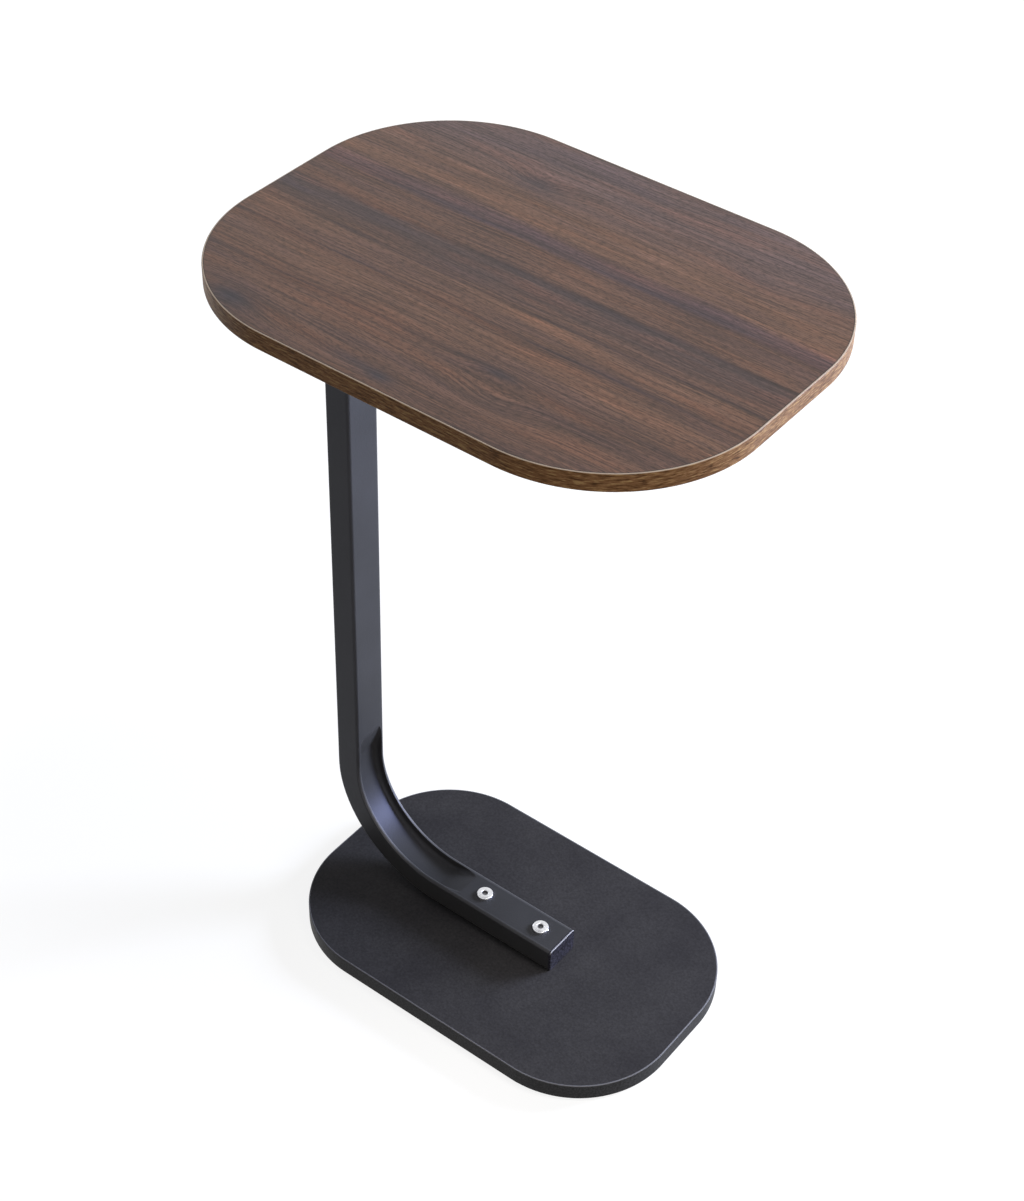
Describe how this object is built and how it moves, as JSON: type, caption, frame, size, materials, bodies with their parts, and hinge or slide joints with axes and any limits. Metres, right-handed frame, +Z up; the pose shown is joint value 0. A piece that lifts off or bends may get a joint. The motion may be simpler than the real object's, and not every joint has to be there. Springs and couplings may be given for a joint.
{
  "type": "c shaped side table",
  "caption": "C shaped side table: a bent rectangular steel tube carries a rounded walnut-look top over a flat rounded black base that slides under a sofa or bed.",
  "frame": {"origin": "on the floor, under the middle of the table top", "axes": "+Z up, +X towards the open side of the C, away from the post, +Y across the table"},
  "size_m": [0.4, 0.3, 0.6367],
  "materials": {
    "powder_coat": "fine satin black powder coat",
    "cap_plastic": "grained black",
    "fibreboard": "raw",
    "walnut_laminate": "satin walnut-look laminate",
    "walnut_edge": "printed walnut-look edge band",
    "black_laminate": "satin black laminate",
    "black_edge": "satin black edge band",
    "backing_paper": "matt dark backing sheet",
    "zinc_steel": "bright zinc plated",
    "insert_metal": "plain",
    "pad_rubber": "matt"
  },
  "bodies": {
    "root": {"c_frame_tube": "powder_coat", "lower_end_cap": "cap_plastic", "upper_end_cap": "cap_plastic", "top_core_board": "fibreboard", "top_face_laminate": "walnut_laminate", "top_backing_sheet": "backing_paper", "top_edge_band": "walnut_edge", "base_core_board": "fibreboard", "base_face_laminate": "black_laminate", "base_backing_sheet": "backing_paper", "base_edge_band": "black_edge", "base_bolt_inner": "zinc_steel", "base_bolt_outer": "zinc_steel", "top_bolt_inner": "zinc_steel", "top_bolt_outer": "zinc_steel", "base_insert_inner": "insert_metal", "base_insert_outer": "insert_metal", "top_insert_inner": "insert_metal", "top_insert_outer": "insert_metal", "foot_pad_1": "pad_rubber", "foot_pad_2": "pad_rubber", "foot_pad_3": "pad_rubber", "foot_pad_4": "pad_rubber"}
  },
  "joints": []
}
